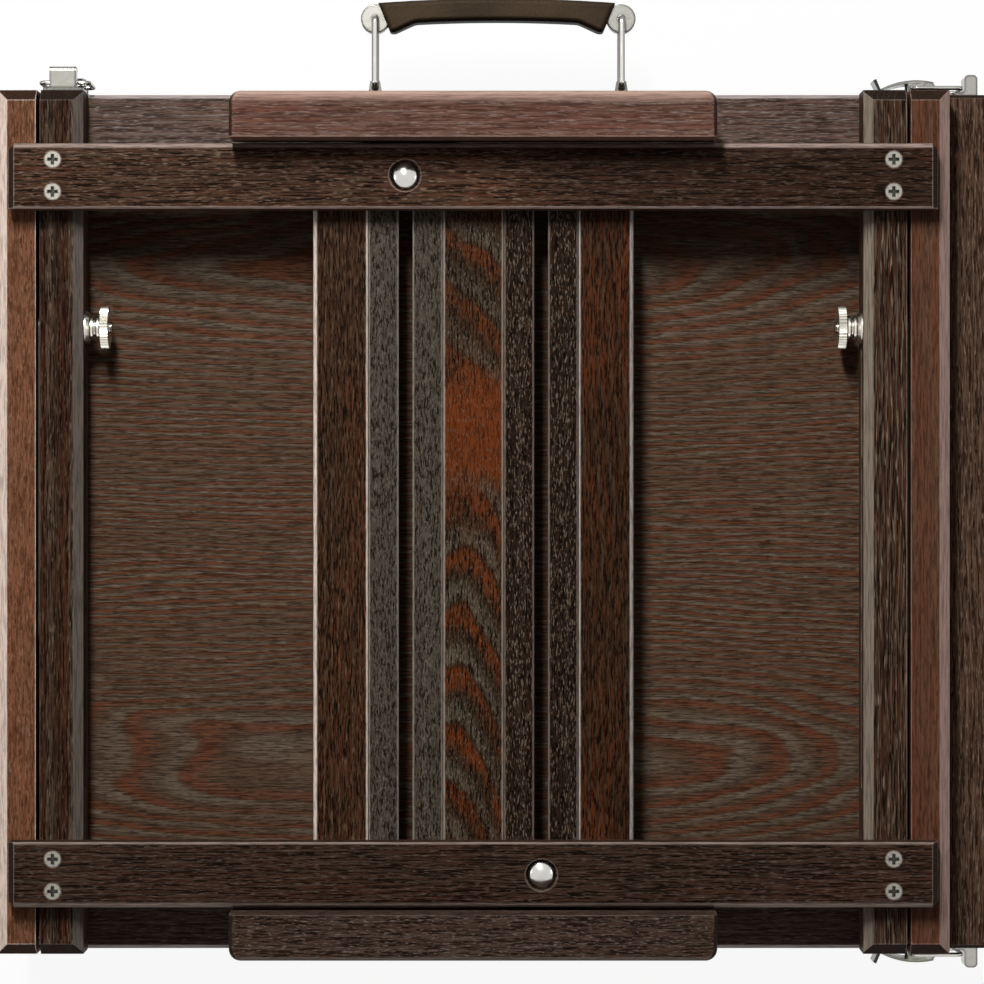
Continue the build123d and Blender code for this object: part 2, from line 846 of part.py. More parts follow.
def grip():
    """An arched grip with a slanted lip under each end, seated round the barrels."""
    left, right = handle_left_x + grip_overlap / 2, handle_right_x - grip_overlap
    middle = (left + right) / 2
    top = bail_top_y + barrel_radius + bail_wire_radius / 3
    under = top - grip_thickness + grip_arch / 3
    lip = top - grip_thickness - grip_lip + grip_arch / 2
    slant = barrel_radius * 0.85
    foot = grip_lip / 2
    ramp = grip_lip * 2
    left_inner, right_inner = left + slant + foot + ramp, right - slant - foot - ramp
    line = ThreePointArc((left, top), (middle, top + grip_arch), (right, top))
    line += Polyline(
        (right, top),
        (right - slant, lip),
        (right - slant - foot, lip),
        (right_inner, under),
    )
    arch = (middle, under + grip_arch / 2)
    line += ThreePointArc((right_inner, under), arch, (left_inner, under))
    line += Polyline(
        (left_inner, under),
        (left + slant + foot, lip),
        (left + slant, lip),
        (left, top),
    )
    face = make_face(line)
    face = fillet(face.vertices().filter_by(lambda v: abs(v.Y - lip) < 0.01), grip_lip_round)
    reach = (right - left) / 2 - slant * 0.7
    bends = face.vertices().filter_by(lambda v: abs(v.Y - under) < 0.01)
    face = fillet(bends.filter_by(lambda v: abs(v.X - middle) < reach), grip_bend)
    place = Plane(origin=(0, 0, handle_height - grip_width / 2))
    solid = extrude(place * face, grip_width)
    rims = solid.edges().filter_by(
        lambda e: abs(abs(e.center().Z - handle_height) - grip_width / 2) < 0.01
    )
    solid = fillet(rims.filter_by(lambda e: abs(e.center().X - middle) < reach), grip_round)
    for x in handle_ends:
        solid -= Pos(x, bail_top_y, handle_height) * Cylinder(barrel_radius, barrel_length)
    return solid


def bracket(x):
    """A wall plate with a tapered bridge over the foot of the bail."""
    plate = slab(
        (x - bracket_length / 2, x + bracket_length / 2),
        (far_y, far_y + bracket_thickness),
        (handle_height - bracket_height / 2, handle_height + bracket_height / 2),
    )
    corners = plate.edges().filter_by(Axis.Y)
    plate = fillet(corners, bracket_height / 4)
    top = bail_foot_y + 2 * bail_wire_radius
    base, crest = bracket_bridge_base / 2, bracket_bridge_top / 2
    foot = [(x - base, far_y), (x + base, far_y)]
    outline = Polyline(*foot, (x + crest, top), (x - crest, top), close=True)
    half = bail_half_gap - bail_bend - bail_play
    place = Plane(origin=(0, 0, handle_height - half))
    bridge = extrude(place * make_face(outline), 2 * half)
    eye = Pos(x, bail_foot_y, handle_height) * Cylinder(bail_wire_radius + bail_play, 2 * half)
    return plate + bridge - eye


def bracket_screw(x):
    """A domed screw through the bracket, its axis along Y."""
    head_y = far_y + bracket_thickness
    head = dome(bracket_dome_radius, bracket_dome_height)
    inner = (x, head_y - bracket_screw_length, handle_height)
    shank = rod(inner, (x, head_y, handle_height), screw_radius)
    return Pos(x, head_y, handle_height) * Rot(-90, 0, 0) * head + shank


bracket_screw_x = [x + side * bracket_screw_offset for x in handle_ends for side in (-1, 1)]
for side, x in zip(("left", "right"), handle_ends):
    holes = [bracket_screw(screw_at) for screw_at in bracket_screw_x]
    keep("handle_bracket_" + side, bracket(x) - holes)
    keep("handle_bail_" + side, bail(x))
keep("handle_barrels", *[barrel(x) for x in handle_ends])
keep("handle_grip", grip())
keep("bracket_screws", *[bracket_screw(x) for x in bracket_screw_x])
pieces["far_wall"] = pieces["far_wall"] - [bracket_screw(x) for x in bracket_screw_x]

# Draw latches, each drawn once about its seam: X is the pull, Z points out of the wall, Y is the width
pivot_x, pivot_n = -latch_pivot_back, latch_pivot_height
loop_x = pivot_x - loop_back
bar_x = loop_x + loop_reach
loop_half = latch_width / 2 + loop_side_play
lever_half = lever_width / 2
ear_inner = lever_half + latch_pin_play * 4
ear_outer = ear_inner + latch_ear_thickness
block_start = bar_x + loop_wire_radius + catch_block_gap
lever_underside = pivot_n + latch_ear_radius - lever_sheet
knee_n = pivot_n - lever_sheet


def side_plate(outline, low, high):
    """A solid from an outline seen from the side, between two widths."""
    face = Plane(origin=(0, high, 0), x_dir=(1, 0, 0), z_dir=(0, -1, 0)) * outline
    return extrude(face, high - low)


def on_both_sides(outline, inner, outer):
    return side_plate(outline, -outer, -inner) + side_plate(outline, inner, outer)


def span(x, n):
    """A rectangle seen from the side, from two (low, high) pairs."""
    return Pos(sum(x) / 2, sum(n) / 2) * Rectangle(x[1] - x[0], n[1] - n[0])


def latch_pin(radius=latch_pin_radius):
    return side_plate(Pos(pivot_x, pivot_n) * Circle(radius), -ear_outer, ear_outer)


def latch_plate(start, length):
    half = latch_width / 2
    plate = slab((start, start + length), (-half, half), (0, latch_plate_thickness))
    return fillet(plate.edges().filter_by(Axis.Z), half / 4)


def latch_base():
    """The wall plate, with two ears that carry the lever's pin."""
    plate = latch_plate(-latch_seam_gap - latch_base_length, latch_base_length)
    ear = Pos(pivot_x, pivot_n) * Circle(latch_ear_radius)
    ear += span((pivot_x - latch_ear_radius, pivot_x + latch_ear_radius), (0, pivot_n))
    return plate + on_both_sides(ear, ear_inner, ear_outer) - latch_pin()


def latch_lever():
    """A bowed strip with a bent finger tab, and two flanges that turn on the pin and hold the loop."""
    tail_x, tip_x = pivot_x + 2 * latch_pin_radius, pivot_x - lever_length
    knee_x = tip_x + lever_tab_height / 2
    tip_n = knee_n + lever_tab_height
    bow_n = (lever_underside + knee_n) / 2 + lever_bow
    sheet = lever_sheet
    line = ThreePointArc((tail_x, lever_underside), ((tail_x + knee_x) / 2, bow_n), (knee_x, knee_n))
    line += Polyline(
        (knee_x, knee_n),
        (tip_x, tip_n),
        (tip_x + sheet, tip_n + sheet / 2),
        (knee_x + sheet / 2, knee_n + sheet),
    )
    line += ThreePointArc(
        (knee_x + sheet / 2, knee_n + sheet),
        ((tail_x + knee_x) / 2, bow_n + sheet),
        (tail_x, lever_underside + sheet),
    )
    line += Line((tail_x, lever_underside + sheet), (tail_x, lever_underside))
    lever = side_plate(make_face(line), -lever_half, lever_half)
    low = pivot_n - 2 * latch_pin_radius
    flange = Pos(pivot_x, pivot_n) * Circle(2 * latch_pin_radius)
    flange += span((loop_x - 2 * loop_wire_radius, pivot_x), (low, lever_underside + sheet / 2))
    flange += span((pivot_x, tail_x), (pivot_n, lever_underside + sheet / 2))
    lever += on_both_sides(flange, lever_half - sheet, lever_half)
    eye = Pos(loop_x, pivot_n) * Circle(loop_wire_radius + latch_pin_play)
    lever -= side_plate(eye, -lever_half, lever_half)
    return lever - latch_pin(latch_pin_radius + latch_pin_play)


def latch_loop():
    """A wire loop: its ends turn in the lever's flanges, and its bar lies over the catch."""
    end = lever_half - lever_sheet
    points = [
        (loop_x, end, pivot_n),
        (loop_x, loop_half + loop_wire_radius, pivot_n),
        (bar_x, loop_half + loop_wire_radius, pivot_n),
        (bar_x, -loop_half - loop_wire_radius, pivot_n),
        (loop_x, -loop_half - loop_wire_radius, pivot_n),
        (loop_x, -end, pivot_n),
    ]
    path = FilletPolyline(*points, radius=loop_bend)
    start = Plane(origin=points[0], z_dir=(0, 1, 0))
    return sweep(start * Circle(loop_wire_radius), path=path)


def latch_catch():
    """A plate with a crown just under the loop's bar, and a stop behind it."""
    half = catch_block_width / 2
    crown_top = pivot_n - loop_wire_radius - catch_play
    catch = latch_plate(latch_seam_gap - drawer_front_gap, catch_plate_length)
    catch += slab((block_start - catch_crown_length, block_start), (-half, half), (0, crown_top))
    stop = slab((block_start, block_start + catch_block_length), (-half, half), (0, catch_block_height))
    top = stop.edges().filter_by(Axis.Y).filter_by(lambda e: e.center().Z > crown_top)
    return catch + fillet(top, catch_block_length / 3)


def latch_screw():
    head = Pos(0, 0, latch_plate_thickness) * dome(latch_screw_head_radius, latch_screw_head_height)
    tip = latch_plate_thickness - latch_screw_length
    return head + rod((0, 0, tip), (0, 0, latch_plate_thickness), latch_screw_radius)


def latch_screws(x):
    return [Pos(x, side * latch_screw_spacing / 2, 0) * latch_screw() for side in (-1, 1)]


# Where each latch goes, and the wooden pieces that its base and its catch are screwed to
drawer_seam = half_length + drawer_front_gap / 2
tilt_seam = box_top + upright_seat_gap / 2
upright_middle = (upright_inner + upright_outer) / 2
latches = {
    "far": (drawer_seam, far_y, latch_height),
    "near": (drawer_seam, -far_y, latch_height),
    "tilt": (-upright_middle, far_y, tilt_seam),
}
pulls = {"far": (1, 0, 0), "near": (1, 0, 0), "tilt": (0, 0, 1)}
walls = {"far": "far_wall", "near": "near_wall", "tilt": "far_wall"}
catch_boards = {"far": "drawer_front", "near": "drawer_front", "tilt": "upright_left"}
base_screws = latch_screws(-latch_base_screw_back)
catch_screws = latch_screws(latch_catch_screw_on)
base_group, screw_group, catch_group = [], [], []
for name, origin in latches.items():
    outward = (0, math.copysign(1, origin[1]), 0)
    place = Plane(origin=origin, x_dir=pulls[name], z_dir=outward)
    base, catch = latch_base(), latch_catch()
    for screw in base_screws:
        base -= screw
        pieces[walls[name]] -= place * screw
        screw_group.append(place * screw)
    for screw in catch_screws:
        catch -= screw
        pieces[catch_boards[name]] -= place * screw
    base_group += [place * base, place * latch_pin()]
    keep("latch_lever_" + name, place * latch_lever())
    keep("latch_loop_" + name, place * latch_loop())
    placed_catch = [place * catch] + [place * screw for screw in catch_screws]
    if name == "tilt":
        keep("tilt_catch", *placed_catch)
    else:
        catch_group += placed_catch
keep("latch_bases", *base_group)
keep("latch_base_screws", *screw_group)
keep("drawer_catches", *catch_group)

os.makedirs("parts", exist_ok=True)
for name, shape in pieces.items():
    export_step(shape, "parts/" + name + ".step")
print(len(pieces), "sub-parts written")
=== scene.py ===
import math

import bpy
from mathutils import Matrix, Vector


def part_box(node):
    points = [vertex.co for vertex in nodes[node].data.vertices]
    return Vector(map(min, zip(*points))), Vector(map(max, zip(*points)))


# A dark stained table box easel with nickel fittings, seen from straight above on a pale floor
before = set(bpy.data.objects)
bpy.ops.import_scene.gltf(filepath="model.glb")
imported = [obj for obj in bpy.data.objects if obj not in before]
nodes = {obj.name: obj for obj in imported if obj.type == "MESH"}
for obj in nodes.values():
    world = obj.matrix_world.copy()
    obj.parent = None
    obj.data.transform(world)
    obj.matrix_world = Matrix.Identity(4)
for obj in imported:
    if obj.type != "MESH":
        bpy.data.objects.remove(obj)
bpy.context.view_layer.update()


def linear(red, green, blue):
    """A display colour, 0 to 255, as the linear colour that a shader takes."""
    values = []
    for channel in (red, green, blue):
        c = channel / 255
        values.append(c / 12.92 if c <= 0.04045 else ((c + 0.055) / 1.055) ** 2.4)
    return (*values, 1.0)


class Graph:
    """Short calls for building the nodes of one material, or of the world."""

    def __init__(self, owner):
        owner.use_nodes = True
        self.owner = owner
        self.tree = owner.node_tree
        self.shader = self.tree.nodes.get("Principled BSDF")

    def put(self, socket, value):
        if isinstance(value, bpy.types.NodeSocket):
            self.tree.links.new(value, socket)
        else:
            socket.default_value = value

    def add(self, kind, out=0, settings=None, **inputs):
        """Adds a node and gives its output. i0, i1 and so on are inputs by number, the rest by name."""
        node = self.tree.nodes.new(kind)
        for name, value in (settings or {}).items():
            setattr(node, name, value)
        for name, value in inputs.items():
            numbered = name[0] == "i" and name[1:].isdigit()
            key = int(name[1:]) if numbered else name.replace("_", " ")
            self.put(node.inputs[key], value)
        return node.outputs[out]

    def maths(self, operation, a, b=0.0, c=0.0, clamp=False):
        settings = {"operation": operation, "use_clamp": clamp}
        return self.add("ShaderNodeMath", settings=settings, i0=a, i1=b, i2=c)

    def times(self, a, b):
        return self.maths("MULTIPLY", a, b)

    def plus(self, a, b):
        return self.maths("ADD", a, b)

    def minus(self, a, b):
        return self.maths("SUBTRACT", a, b)

    def absolute(self, value):
        return self.maths("ABSOLUTE", value)

    def vectors(self, operation, a, b, out=0):
        settings = {"operation": operation}
        return self.add("ShaderNodeVectorMath", out=out, settings=settings, i0=a, i1=b)

    def mixed(self, amount, a, b):
        settings = {"data_type": "RGBA"}
        return self.add("ShaderNodeMix", out=2, settings=settings, i0=amount, i6=a, i7=b)

    def step(self, value, low, high):
        """0 below low, 1 above high, and smooth between them."""
        settings = {"interpolation_type": "SMOOTHSTEP"}
        return self.add("ShaderNodeMapRange", settings=settings, i0=value, i1=low, i2=high)

    def noise(self, vector, scale, detail=2.0, roughness=0.5):
        stretched = self.vectors("MULTIPLY", vector, scale)
        inputs = {"Vector": stretched, "Scale": 1.0, "Detail": detail, "Roughness": roughness}
        return self.add("ShaderNodeTexNoise", **inputs)

    def turned(self, vector, grain, kind="POINT"):
        """A vector turned so that the grain runs along X."""
        turns = {"X": (0, 0, 0), "Y": (0, 0, -math.pi / 2)}
        settings = {"vector_type": kind}
        return self.add("ShaderNodeMapping", settings=settings, Vector=vector, Rotation=turns[grain])

    def place(self, grain="X"):
        """The piece's own coordinates in metres, with the grain along X."""
        return self.turned(self.add("ShaderNodeTexCoord", out="Object"), grain)

    def facing(self, grain="X"):
        """The surface's direction in the piece's own axes, with the grain along X."""
        return self.turned(self.add("ShaderNodeTexCoord", out="Normal"), grain, "VECTOR")

    def split(self, vector):
        node = self.tree.nodes.new("ShaderNodeSeparateXYZ")
        self.put(node.inputs[0], vector)
        return list(node.outputs)

    def edges(self, radius):
        """1 along the piece's edges and 0 elsewhere."""
        soft = self.add("ShaderNodeBevel", settings={"samples": 4}, Radius=radius)
        plain = self.add("ShaderNodeNewGeometry", out="Normal")
        return self.step(self.vectors("DOT_PRODUCT", soft, plain, out="Value"), 0.995, 0.94)

    def bump(self, height, distance, strength):
        normal = self.add("ShaderNodeBump", Height=height, Distance=distance, Strength=strength)
        self.put(self.shader.inputs["Normal"], normal)

    def finished(self, colour, roughness):
        """Puts the colour and roughness on the shader, and gives the material."""
        self.put(self.shader.inputs["Base Color"], colour)
        self.put(self.shader.inputs["Roughness"], roughness)
        return self.owner

    def seen(self):
        """1 for the camera, gloss and glass, and 0 for light that falls on the object."""
        path = self.tree.nodes.new("ShaderNodeLightPath").outputs
        either = self.maths("MAXIMUM", path["Is Camera Ray"], path["Is Glossy Ray"])
        return self.maths("MAXIMUM", either, path["Is Transmission Ray"])


def new_graph(name):
    return Graph(bpy.data.materials.new(name))


# Rates of the wood's noises, in turns a metre along, across and into the board
wander_rate = (6.0, 22.0, 22.0)
fine_rate = (24.0, 110.0, 110.0)
clear_rate = (7.0, 50.0, 50.0)
blotch_rate = (14.0, 60.0, 60.0)
streak_across = 1300.0

# How far the rings sway across and into the board, and how wide the painted highlight along an edge is,
# in metres
sway = 0.014
fine_sway = 0.003
deep_sway = 0.01
edge_polish = 0.0008


def rings(g, place, seeded, streak, ring, centre, half, heart, slant, bow, bow_at, stray):
    """The pale early and the warm late wood of each ring, for a log whose heart lies above the board."""
    wander = g.noise(seeded, wander_rate)
    fine = g.noise(seeded, fine_rate)
    along, across, deep = g.split(place)
    shift = g.maths("MULTIPLY_ADD", fine, fine_sway, -(sway + fine_sway) / 2)
    shift = g.maths("MULTIPLY_ADD", wander, sway, shift)
    offset = g.absolute(g.minus(g.plus(across, shift), centre))
    offset = g.minus(offset, half)
    bowed = g.times(g.maths("POWER", g.minus(along, bow_at), 2.0), bow)
    below = g.plus(g.maths("MULTIPLY_ADD", along, slant, heart), bowed)
    below = g.plus(g.minus(below, deep), g.times(wander, deep_sway * stray))
    squares = g.plus(g.maths("POWER", offset, 2.0), g.maths("POWER", below, 2.0))
    radius = g.maths("SQRT", squares)
    turn = g.plus(g.maths("DIVIDE", radius, ring), g.times(streak, 0.1))
    phase = g.maths("FRACT", g.plus(turn, wander))
    early = g.times(g.step(phase, 0.0, 0.1), g.step(phase, 0.5, 0.22))
    late = g.times(g.step(phase, 0.5, 0.8), g.step(phase, 1.0, 0.94))
    return early, late


def worn_and_lit(g, grain, colour, streak, bevel):
    """End grain drinks stain and turns dark, and the bevels and edges are worn pale and carry a painted
    highlight.
    """
    slopes = [g.absolute(part) for part in g.split(g.facing(grain))]
    end = g.step(slopes[0], 0.35, 0.65)
    level = g.maths("MAXIMUM", slopes[1], slopes[2])
    slope = g.times(g.step(level, 0.985, 0.86), g.step(slopes[0], 0.4, 0.2))
    # The pale bevels and edges are wear with a painted highlight on it, broken by the streaks
    wear = g.maths("MULTIPLY_ADD", streak, 0.4, 0.5)
    end_tone = linear(28, 20, 15)
    colour = g.mixed(g.times(end, 0.85), colour, end_tone)
    colour = g.mixed(g.times(slope, wear), colour, bevel)
    return g.mixed(g.times(g.edges(edge_polish), wear), colour, bevel)


def wood(name, grain, tone, seed, ring=0.003, centre=0.0, half=0.0, heart=0.03, slant=0.0,
         bow=0.0, bow_at=0.0, stray=1.0, figure=0.6, pores=0.7, pore_length=0.005, pore_width=0.0007,
         stain=0.95, streaks=150.0, glow=None, cloud=0.5, dim=None, polish=None):
    """Stained open-pored wood, with lengths in metres.

    The log's heart runs along the board at the level heart, and across it at centre, or at two places
    half to each side of that. A slanted or bowed heart gives flames. Along the board, glow is a warm
    spot as (at, reach), and dim a darker end as (from, to, amount). Across it, polish is a
    painted highlight along an edge, as (at, reach).
    """
    middle, dark, pale, warm, bevel = tone
    g = new_graph(name)
    place = g.place(grain)
    along, across = g.split(place)[:2]
    seeded = g.vectors("ADD", place, (seed * 1.7, seed * 0.9, seed * 1.3))
    shifted = g.vectors("ADD", seeded, (3.1, 5.3, 2.7))
    streak_rate = (streaks, streak_across, streak_across)
    streak = g.step(g.noise(seeded, streak_rate, roughness=0.7), 0.38, 0.57)
    early, late = rings(g, place, seeded, streak, ring, centre, half, heart, slant, bow, bow_at, stray)
    clear = g.step(g.noise(shifted, clear_rate), 0.3, 0.6)
    band = g.maths("MULTIPLY_ADD", clear, figure * 0.6, figure * 0.4)

    # Pores: pale dashes, partly filler in the pores and partly a painted glint off them, and dark gaps
    # where they are open
    dash_rate = (1.0 / pore_length, 1.0 / pore_width, 1.0 / pore_width)
    gap_rate = (0.9 / pore_length, streak_across, streak_across)
    dash = g.step(g.noise(seeded, dash_rate, detail=1.0), 0.57, 0.67)
    gap = g.step(g.noise(shifted, gap_rate, detail=1.0), 0.45, 0.32)

    # Colour: warm late wood and clouds, pale early wood, then the dark stain and the pores over them
    blotch = g.step(g.noise(shifted, blotch_rate, detail=4.0, roughness=0.6), 0.4, 0.66)
    warmth = g.maths("MULTIPLY_ADD", late, band, g.times(blotch, cloud * 0.6), clamp=True)
    if glow:
        glow_at, glow_reach = glow
        spot = g.absolute(g.minus(along, glow_at))
        spot = g.step(spot, glow_reach, glow_reach * 0.3)
        warmth = g.maths("ADD", warmth, spot, clamp=True)
        early = g.times(early, g.minus(1.0, spot))
        stain = g.maths("MULTIPLY_ADD", spot, -stain / 2, stain)
    colour = g.mixed(g.times(warmth, 0.9), middle, warm)
    colour = g.mixed(g.times(g.times(early, band), 0.45), colour, pale)
    colour = g.mixed(g.times(g.minus(1.0, streak), stain), colour, dark)
    colour = g.mixed(g.times(gap, 0.5), colour, dark)
    filler_and_glint = g.maths("MULTIPLY_ADD", g.times(early, band), 0.7 * pores, 0.35 * pores)
    colour = g.mixed(g.maths("MULTIPLY", dash, filler_and_glint, clamp=True), colour, pale)
    if polish:
        polish_at, polish_reach = polish
        near = g.step(g.absolute(g.minus(across, polish_at)), polish_reach, 0.0)
        shine = g.times(near, g.maths("MULTIPLY_ADD", streak, 0.3, 0.4))
        colour = g.mixed(shine, colour, bevel)
    if dim:
        dim_from, dim_to, dim_amount = dim
        colour = g.mixed(g.times(g.step(along, dim_from, dim_to), dim_amount), colour, dark)
    colour = worn_and_lit(g, grain, colour, streak, bevel)

    g.shader.inputs["Specular IOR Level"].default_value = 0.025
    height = g.maths("MULTIPLY_ADD", dash, -0.5, g.times(gap, -0.7))
    g.bump(height, distance=0.00015, strength=0.5)
    return g.finished(colour, g.maths("MULTIPLY_ADD", dash, 0.12, 0.45))


def metal(name, colour, rough, wear=0.25, scale=160.0, sides=0.35, turn=(0.85, 0.5), rim=0.0004,
          shades=()):
    """Bright plated metal with faint clouding and fine wear, with painted shade and dark reflections on
    its sides and along its edges.

    Each shade is (axis, from, to): painted shade and dark reflection darken the metal between those two
    levels.
    """
    dull_tone = linear(90, 87, 80)
    side_shade_tone = linear(78, 75, 68)
    shade_and_reflection_tone = linear(28, 27, 24)
    g = new_graph(name)
    place = g.place()
    cloud = g.noise(place, (scale, scale, scale), detail=3.0)
    scratch = g.noise(place, (scale * 3, scale * 14, scale * 9))
    dull = g.step(cloud, 0.48, 0.72)
    colour = g.mixed(g.times(dull, wear), linear(*colour), dull_tone)
    upward = g.absolute(g.split(g.facing())[2])
    # Painted shade and dark reflection on the sides that turn away from above and along the edges
    colour = g.mixed(g.times(g.step(upward, *turn), sides), colour, side_shade_tone)
    colour = g.mixed(g.times(g.edges(rim), 0.85), colour, shade_and_reflection_tone)
    for axis, low, high in shades:
        colour = g.mixed(g.times(g.step(g.split(place)[axis], low, high), 0.85), colour, shade_and_reflection_tone)
    g.shader.inputs["Metallic"].default_value = 1.0
    g.bump(scratch, distance=0.00002, strength=0.35)
    spread = g.maths("MULTIPLY_ADD", scratch, 0.14, rough - 0.05)
    return g.finished(colour, g.maths("MULTIPLY_ADD", dull, 0.1, spread))


def grip_skin(name):
    """The moulded grip: satin brown with a fine pebble, with painted shade on its far and near faces."""
    g = new_graph(name)
    place = g.place()
    pebble = g.add("ShaderNodeTexVoronoi", Vector=place, Scale=1900.0)
    cloud = g.noise(place, (40.0, 90.0, 90.0), detail=3.0)
    light_brown = linear(67, 53, 37)
    brown = linear(51, 39, 27)
    hollow = linear(30, 22, 16)
    near_shade = linear(16, 11, 8)
    far_shade = linear(24, 17, 12)
    lean = g.split(g.facing())[1]
    tone = g.mixed(g.step(cloud, 0.3, 0.7), light_brown, brown)
    tone = g.mixed(g.times(g.step(pebble, 0.4, 0.8), 0.35), tone, hollow)
    # Painted shade on the faces that lean to the near and the far side
    tone = g.mixed(g.times(g.step(lean, -0.05, -0.5), 0.9), tone, near_shade)
    tone = g.mixed(g.times(g.step(lean, 0.4, 0.9), 0.6), tone, far_shade)
    g.shader.inputs["Specular IOR Level"].default_value = 0.06
    g.bump(pebble, distance=0.00008, strength=0.4)
    return g.finished(tone, g.maths("MULTIPLY_ADD", pebble, 0.15, 0.42))


def rubber(name):
    """Dull black rubber with a fine grain."""
    g = new_graph(name)
    grainy = g.noise(g.place(), (900.0, 900.0, 900.0))
    tone = g.mixed(grainy, linear(28, 27, 26), linear(48, 46, 44))
    g.bump(grainy, distance=0.0001, strength=0.4)
    return g.finished(tone, g.maths("MULTIPLY_ADD", grainy, 0.2, 0.65))


def dress(material, *names):
    """Puts a material on the nodes of these names."""
    for name in names:
        piece = nodes[name]
        if not piece.material_slots:
            piece.data.materials.append(material)
        for slot in piece.material_slots:
            slot.material = material


# Tones of each board, as (middle, dark, pale, warm, bevel). The bevel tone is wear with a painted
# highlight on it.
tones = {
    "panel": ((82, 64, 50), (24, 14, 8), (112, 100, 86), (98, 57, 38), (110, 96, 86)),
    "rail_left": ((112, 74, 53), (47, 24, 12), (154, 120, 96), (129, 73, 46), (232, 212, 198)),
    "rail_right": ((89, 60, 44), (42, 24, 14), (118, 92, 76), (112, 60, 40), (168, 143, 132)),
    "upright_left": ((54, 38, 27), (12, 5, 2), (116, 99, 82), (71, 32, 19), (106, 98, 91)),
    "upright_right": ((59, 44, 33), (13, 6, 3), (121, 106, 91), (76, 37, 23), (136, 124, 110)),
    "crossbar_upper": ((67, 48, 36), (11, 5, 2), (127, 104, 88), (88, 47, 29), (158, 138, 128)),
    "crossbar_lower": ((56, 41, 31), (10, 4, 1), (116, 98, 86), (72, 38, 25), (140, 124, 114)),
    "guide_left": ((55, 37, 25), (9, 4, 1), (114, 94, 75), (78, 38, 20), (236, 218, 204)),
    "guide_right": ((49, 31, 19), (7, 2, 0), (99, 82, 65), (84, 41, 20), (183, 175, 167)),
    "guide_centre": ((51, 35, 23), (11, 5, 2), (111, 103, 87), (106, 50, 20), (160, 145, 132)),
    # The upper mast's greyer tones are painted sheen; it is the same wood as the lower mast
    "mast_upper": ((74, 67, 57), (19, 12, 6), (121, 115, 105), (74, 57, 44), (138, 130, 120)),
    "mast_lower": ((37, 26, 18), (3, 1, 1), (120, 103, 87), (48, 29, 18), (120, 106, 96)),
    "block_upper": ((98, 72, 62), (48, 26, 17), (148, 131, 122), (113, 62, 46), (176, 146, 132)),
    "block_lower": ((69, 54, 44), (21, 11, 7), (128, 112, 102), (80, 49, 37), (118, 104, 96)),
    "top_rails": ((93, 78, 69), (31, 19, 13), (149, 136, 129), (105, 70, 57), (168, 156, 152)),
    "top_stiles": ((78, 60, 50), (26, 15, 10), (124, 106, 94), (92, 56, 43), (130, 116, 108)),
    "front": ((77, 60, 48), (29, 18, 11), (131, 110, 94), (92, 56, 38), (104, 88, 78)),
    "inside": ((196, 160, 118), (150, 112, 76), (214, 182, 142), (188, 140, 92), (206, 172, 132)),
}


def board(tone, grain, part, *others, **more):
    """Dresses a board, and any others cut from the same one, with the grain along X or Y.

    The log's heart is given by how far it lies above the board's face.
    """
    seed = sum(ord(letter) for letter in part) % 97
    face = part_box(part)[1][2]
    shades = [linear(*shade) for shade in tones[tone]]
    more["heart"] = more.get("heart", 0.03) + face
    dress(wood("wood_" + part, grain, shades, seed, **more), part, *others)


# The lid and the rails on it
board("panel", "X", "top_panel", ring=0.0028, centre=0.0029, half=0.1148, heart=0.04,
      bow=0.25, bow_at=-0.027, figure=1.0, pores=0.6, stain=0.65, streaks=75.0, cloud=0.35)
board("rail_left", "Y", "side_rail_left", streaks=120.0, centre=0.3, ring=0.004, figure=0.15,
      pore_length=0.003, stain=0.6)
board("rail_right", "Y", "side_rail_right", streaks=70.0, centre=-0.3, ring=0.008, figure=0.35,
      pores=0.4, stain=0.6)
board("top_rails", "X", "top_rails", streaks=65.0, centre=0.24, ring=0.0026, figure=0.4, pores=0.9,
      stain=0.75)
board("top_stiles", "Y", "top_stiles", centre=0.27, figure=0.5, pores=0.8)

# The tilting frame
board("upright_left", "Y", "upright_left", streaks=70.0, centre=0.26, ring=0.009)
board("upright_right", "Y", "upright_right", streaks=60.0, centre=-0.26, ring=0.0022, figure=0.8,
      pores=1.0, pore_length=0.009, cloud=0.3)
board("crossbar_upper", "X", "crossbar_upper", streaks=75.0, centre=0.22, ring=0.0035, figure=0.35,
      pores=1.1, pore_length=0.004, dim=(0.0, 0.06, 0.5))
board("crossbar_lower", "X", "crossbar_lower", streaks=75.0, centre=-0.24, figure=0.3,
      pore_length=0.004)
board("guide_left", "Y", "guide_left", centre=0.12, ring=0.0028, figure=0.5, cloud=0.8)
board("guide_centre", "Y", "guide_centre", centre=0.0123, heart=0.062, slant=0.2, ring=0.0056,
      stray=0.75, figure=0.8, pores=0.9, pore_length=0.0022, pore_width=0.0005,
      glow=(0.041, 0.036), cloud=0.3)
board("guide_right", "Y", "guide_right", centre=-0.12, ring=0.0036, figure=0.45, pores=0.4,
      pore_length=0.004, cloud=1.2)

# The masts and their canvas blocks
board("mast_upper", "Y", "mast_upper", streaks=260.0, centre=0.09, ring=0.009, figure=0.15, pores=0.9,
      pore_length=0.0016, pore_width=0.0005, cloud=0.2)
board("mast_lower", "Y", "mast_lower", streaks=220.0, centre=-0.09, ring=0.009, figure=0.15,
      pores=1.7, pore_length=0.0024, pore_width=0.0005)
# The upper block gets a painted highlight along its far edge
far_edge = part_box("canvas_block_upper")[1][1]
board("block_upper", "X", "canvas_block_upper", streaks=60.0, centre=0.26, ring=0.004, figure=0.3,
      pores=0.8, stain=0.65, polish=(far_edge - 0.0025, 0.0035))
board("block_lower", "X", "canvas_block_lower", streaks=110.0, centre=-0.26, ring=0.005, figure=0.2,
      pores=1.1, pore_length=0.003, cloud=0.35)

